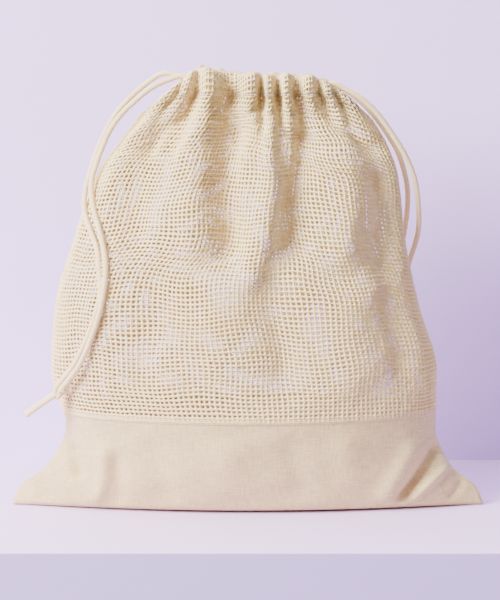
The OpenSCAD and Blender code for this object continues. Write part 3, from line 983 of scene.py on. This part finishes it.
def canvas_panel(sign, creases):
    """the outer surface of a canvas band, rows from the bottom seam up to the join"""
    f = np.linspace(0, 1, CANVAS_COLS + 1)
    seam = np.stack([SEAM_HALF * (2 * f - 1), 0 * f + SEAM_Y, 0 * f + SEAM_Z], 1)
    levels = [seam]
    for z in LEVELS:
        p = at_fraction(ring(z, profile(z, LEFT_W), profile(z, RIGHT_W), z, z), f)
        if z < ROLL_Z:
            p[:, 1] -= (ROLL_Z - z) ** 2 * ROLL * np.sin(np.pi * f) ** 0.5
        if z == FLOOR_Z:
            for share in (0.25, 0.5, 0.75):
                levels.append(seam * (1 - share) + p * share)
            levels[-1][:, 2] = FLOOR_Z
        levels.append(p)
    levels = np.stack(levels)
    x = np.zeros((CANVAS_ROWS + 1, CANVAS_COLS + 1, 3))
    for c in range(CANVAS_COLS + 1):
        x[:, c] = at_fraction(levels[:, c], np.linspace(0, 1, CANVAS_ROWS + 1))
    # normals face out of the bag, and straight out where they would point up or down
    n = sheet_normals(x)
    n *= np.where(n[..., 1:2] < 0, -1, 1)
    n[n[..., 1] < 0.05] = DEPTH
    px, pz = x[..., 0], x[..., 2]
    d = fold_field(px, pz, creases)
    # the cloth's own slack, fading out at the seams
    d += 0.8 * np.sin(px * 0.045 + 1.3 * sign) * np.sin(pz * 0.09 + px * 0.012 + 0.5)
    d += 0.35 * np.sin(px * 0.13 + pz * 0.07) + 0.25 * np.sin(px * 0.071 - pz * 0.19 + sign)
    d *= step((pz - 2) / 9) * (1 - step((pz - JOIN_Z + 12) / 12)) * from_ends(f, 0.03)[None]
    x = x + n * d[..., None] * np.array([0.35, 1, 0.5])
    x[..., 1] = np.maximum(x[..., 1], SEAM_Y)
    x[..., 2] = np.maximum(x[..., 2], 0.5)
    x[..., 1] *= sign
    return x


def shell(x, thick):
    """closed sheet of that thickness whose outer side is x, run so that its normals face out"""
    n = sheet_normals(x)
    inner = x - n * thick
    rows, cols = x.shape[0], x.shape[1]
    i = np.arange(rows * cols).reshape(rows, cols)
    o = i + rows * cols
    quads = [np.stack([i[:-1, :-1], i[:-1, 1:], i[1:, 1:], i[1:, :-1]], -1).reshape(-1, 4),
             np.stack([o[:-1, :-1], o[1:, :-1], o[1:, 1:], o[:-1, 1:]], -1).reshape(-1, 4)]
    for a, b in ((i[0], o[0]), (i[-1][::-1], o[-1][::-1]), (i[:, -1], o[:, -1]),
                 (i[::-1, 0], o[::-1, 0])):
        quads.append(np.stack([b[:-1], b[1:], a[1:], a[:-1]], -1))
    u, v = np.meshgrid(np.linspace(0, BAND_FLAT[0] / MM, cols), np.linspace(0, 100, rows))
    uv = np.stack([u, v], -1).reshape(-1, 2)
    return np.vstack([x.reshape(-1, 3), inner.reshape(-1, 3)]), np.vstack(quads), np.vstack([uv, uv])


for face, sign in FACES:
    way = 1 if face == "front" else -1
    v, f, uv = shell(canvas_panel(sign, CREASES[face])[:, ::way], CANVAS_T)
    v[:, 2] = np.maximum(v[:, 2], 0.2)
    piece = build(f"canvas_band_{face}", v, f, CANVAS, uv)
    place(piece, "bag", "canvas", f"canvas_{face}")


# ---- seams and stitches
# folded seams: width, thickness and points round the section
JOIN_W, SIDE_W, BOTTOM_W = 5.4, 5.6, 5.2
SEAM_T, BOTTOM_T, SEAM_POINTS = 1.9, 2.0, 12
# the join seam's place on the net's edge, the side seam's inside it, and how high stitches lie
JOIN_SINK, JOIN_RISE, SIDE_INSET = 0.45, 0.8, 2.4
ON_SEAM, ON_NET = 0.8, 0.75


def strip(path, section_of):
    """a band swept along path; section_of gives each ring's points from a point's number"""
    rings = np.stack([section_of(k) for k in range(len(path))])
    n, m = rings.shape[:2]
    i = np.arange(n - 1)[:, None] * m
    k = np.arange(m)[None]
    k2 = (k + 1) % m
    quads = np.stack([i + k, i + k2, i + m + k2, i + m + k], -1).reshape(-1, 4).tolist()
    quads.append(list(range(m))[::-1])
    quads.append([(n - 1) * m + q for q in range(m)])
    s = arc(path)
    around = np.linspace(0, 8, m)
    uv = np.stack(np.meshgrid(s, around, indexing="ij"), -1).reshape(-1, 2)
    return rings.reshape(-1, 3), quads, uv


def flat_section(a, b, width, thick=SEAM_T):
    """rounded flat section with axes a and b"""
    t = TAU * np.arange(SEAM_POINTS) / SEAM_POINTS
    ca, sa = np.cos(t), np.sin(t)
    ca = np.sign(ca) * np.abs(ca) ** 0.45
    sa = np.sign(sa) * np.abs(sa) ** 0.7
    return ca[:, None] * a * width / 2 + sa[:, None] * b * thick / 2


# gap between stitches, and how far each one's ends and its middle stand off
STITCH_GAP, STITCH_LIFT, STITCH_RISE = 0.7, 0.1, 0.35


def stitches(path, normal, length, radius):
    """a row of thread stitches along path, lying on the side that normal points to"""
    s = arc(path)
    rise = np.sin(np.linspace(0, np.pi, 6)) ** 0.6
    parts = []
    start = 0.4
    while start + length < s[-1] - 0.3:
        q = np.linspace(start, start + length, 6)
        p = np.stack([np.interp(q, s, path[:, a]) for a in range(3)], 1)
        n = np.stack([np.interp(q, s, normal[:, a]) for a in range(3)], 1)
        p = p + n * (STITCH_LIFT + STITCH_RISE * rise[:, None])
        parts.append(tube(p, radius * (0.55 + 0.45 * rise), 6, 0.0))
        start += length + STITCH_GAP
    return joined(parts)


for face, sign in FACES:
    path = even(NETS[face][0], 2.0)
    # outward is for a line on the back's side, so the front's is worked out in a mirror
    mirror = np.array([1, sign])
    n = np.zeros_like(path)
    n[:, :2] = outward(path[:, :2] * mirror) * mirror
    centre = path - n * JOIN_SINK + UP * JOIN_RISE
    v, f, uv = strip(path, lambda k: centre[k] + flat_section(UP, n[k], JOIN_W))
    piece = build(f"join_seam_{face}", v, f if sign > 0 else turned(f), CANVAS, uv)
    place(piece, "bag", "seam", f"{face}_join_seam")
    v, f, uv = stitches(centre + n * ON_SEAM + UP * 0.7, n, length=2.6, radius=0.32)
    place(build(f"join_stitches_{face}", v, f, THREAD, uv), "bag", "seam")
    hem = HEMS[face]
    for side, cut in HALVES:
        line = (0.6 * hem[0] + 0.4 * hem[1])[cut]
        n = sheet_normals(hem)[0, cut] * [1, 1, 0.3]
        n = unit(n * np.sign(n[:, 1:2] * sign))
        v, f, uv = stitches(line + n * ON_NET, n, length=2.4, radius=0.36)
        piece = build(f"hem_stitches_{face}_{side}", v, f, THREAD, uv)
        gathers(piece)

for side, sign, k, edge in (("left", -1, LEFT_W, 0), ("right", 1, RIGHT_W, -1)):
    rim = np.vstack([NETS["front"][:, edge], HEMS["front"][1:3, edge]])
    z = np.linspace(1.5, rim[-1, 2], 220)
    x = np.where(z > JOIN_Z, np.interp(z, rim[:, 2], rim[:, 0]), sign * profile(z, k))
    path = np.stack([x, 0 * z, z], 1)
    inward = np.cross(unit(np.gradient(path, axis=0)), DEPTH)
    inward *= -np.sign(inward[:, :1]) * sign
    centre = path + inward * SIDE_INSET
    # the seam puckers a little
    centre[:, 1] += 0.35 * np.sin(z * 0.21) + 0.25 * np.sin(z * 0.47)
    v, f, uv = strip(path, lambda q: centre[q] + flat_section(inward[q], DEPTH, SIDE_W))
    v[:, 2] = np.maximum(v[:, 2], 0.4)
    piece = build(f"side_seam_{side}", v, f if sign > 0 else turned(f), CANVAS, uv)
    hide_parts(f"{side}_side_seam")
    gathers(piece)

path = even(np.array([[-169, 0, 3.4], [169, 0, 3.4]], float), 3.0)
v, f, uv = strip(path, lambda k: path[k] + flat_section(UP, DEPTH, BOTTOM_W, BOTTOM_T))
place(build("bottom_seam_fold", v, f, CANVAS, uv), "bag", "seam", "bottom_seam")

# bartacks: rows of thread across each end of the hem, with a thick one up its edge
BARTACK_ROWS, BARTACK_STEP, BARTACK_HALF = 7, 1.1, 4.4
for side, sign, edge in (("left", -1, 0), ("right", 1, -1)):
    low, high = HEMS["front"][0, edge], HEMS["front"][6, edge]
    up = unit((high - low) * [1, 0, 1])
    out = np.cross(DEPTH, up)
    out *= sign * np.sign(out[0])
    middle = 0.5 * (low + high) * [1, 0, 1] + out * 0.3
    parts = []
    for q in range(BARTACK_ROWS):
        row = middle + up * (q - BARTACK_ROWS // 2) * BARTACK_STEP + out * 0.5
        parts.append(tube(catmull([row + DEPTH * y for y in (-2.6, 0, 2.6)], 3), 0.5, 6, 0.0))
    edge_line = np.array([middle + up * h for h in np.linspace(-BARTACK_HALF, BARTACK_HALF, 10)])
    parts.append(tube(edge_line, 0.9, 10, 0.1))
    v, f, uv = joined(parts)
    place(build(f"bartack_{side}", v, f, THREAD, uv), f"mouth_{side}", "seam", f"{side}_bartack")


# ---- shelf, wall and light
def plain(name, colour):
    """plain matt paint"""
    mat, tree, shader = nodes_of(name)
    where = coordinates(tree)[0]
    c = ramp(tree, noise(tree, where, 30, 4), 0.3, 0.7, tuple(0.985 * x for x in colour), colour)
    tree.links.new(c, shader.inputs["Base Color"])
    bump(tree, shader, noise(tree, where, 220, 3), 0.0004, 0.15)
    surface(shader, 0.6, specular=0.2)
    return mat


def slab(name, low, high, material):
    (x0, y0, z0), (x1, y1, z1) = low, high
    v = [(x, y, z) for x in (x0, x1) for y in (y0, y1) for z in (z0, z1)]
    f = [[0, 1, 3, 2], [4, 6, 7, 5], [0, 4, 5, 1], [2, 3, 7, 6], [0, 2, 6, 4], [1, 5, 7, 3]]
    build(name, v, f, material, smooth=False)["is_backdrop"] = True


# half the stage's width, the shelf's front and underside, and the wall's face
STAGE_HALF, SHELF_FRONT, SHELF_LOW, WALL_Y = 2500, -176, -160, 196
slab("shelf", (-STAGE_HALF, SHELF_FRONT, SHELF_LOW), (STAGE_HALF, WALL_Y + 0.5, 0),
     plain("shelf_paint", (0.83, 0.64, 1.0)))
# the shelf's front face is a thin sheet in a darker copy of the shelf's paint: painted shade, for the
# face that the light from above reaches less
slab("shelf_front", (-STAGE_HALF, SHELF_FRONT - 1, SHELF_LOW), (STAGE_HALF, SHELF_FRONT - 0.2, -0.4),
     plain("shelf_front_painted_shade", (0.52, 0.37, 0.82)))
slab("wall", (-STAGE_HALF, WALL_Y, -700), (STAGE_HALF, WALL_Y + 34, 2400),
     plain("wall_paint", (0.71, 0.53, 1.0)))


def area_light(name, location, target, size, power, colour):
    data = bpy.data.lights.new(name, "AREA")
    data.size = size
    data.energy = power
    data.color = colour
    obj = bpy.data.objects.new(name, data)
    bpy.context.scene.collection.objects.link(obj)
    obj.location = location
    obj.rotation_mode = "QUATERNION"
    obj.rotation_quaternion = (Vector(target) - Vector(location)).to_track_quat("-Z", "Y")


area_light("key", (-1.9, -1.6, 1.4), (0, 0, 0.15), 1.5, 365, (1.0, 0.98, 0.94))
area_light("fill", (1.6, -2.0, 0.8), (0, 0, 0.15), 1.6, 5, (1.0, 0.97, 0.97))
area_light("top", (-0.2, -0.5, 2.0), (0, 0, 0.1), 1.2, 22, (1.0, 0.98, 0.96))
world = bpy.data.worlds.new("world")
bpy.context.scene.world = world
world.use_nodes = True
background = world.node_tree.nodes["Background"]
background.inputs["Color"].default_value = (1.0, 0.96, 0.98, 1)
background.inputs["Strength"].default_value = 0.38

low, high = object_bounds()
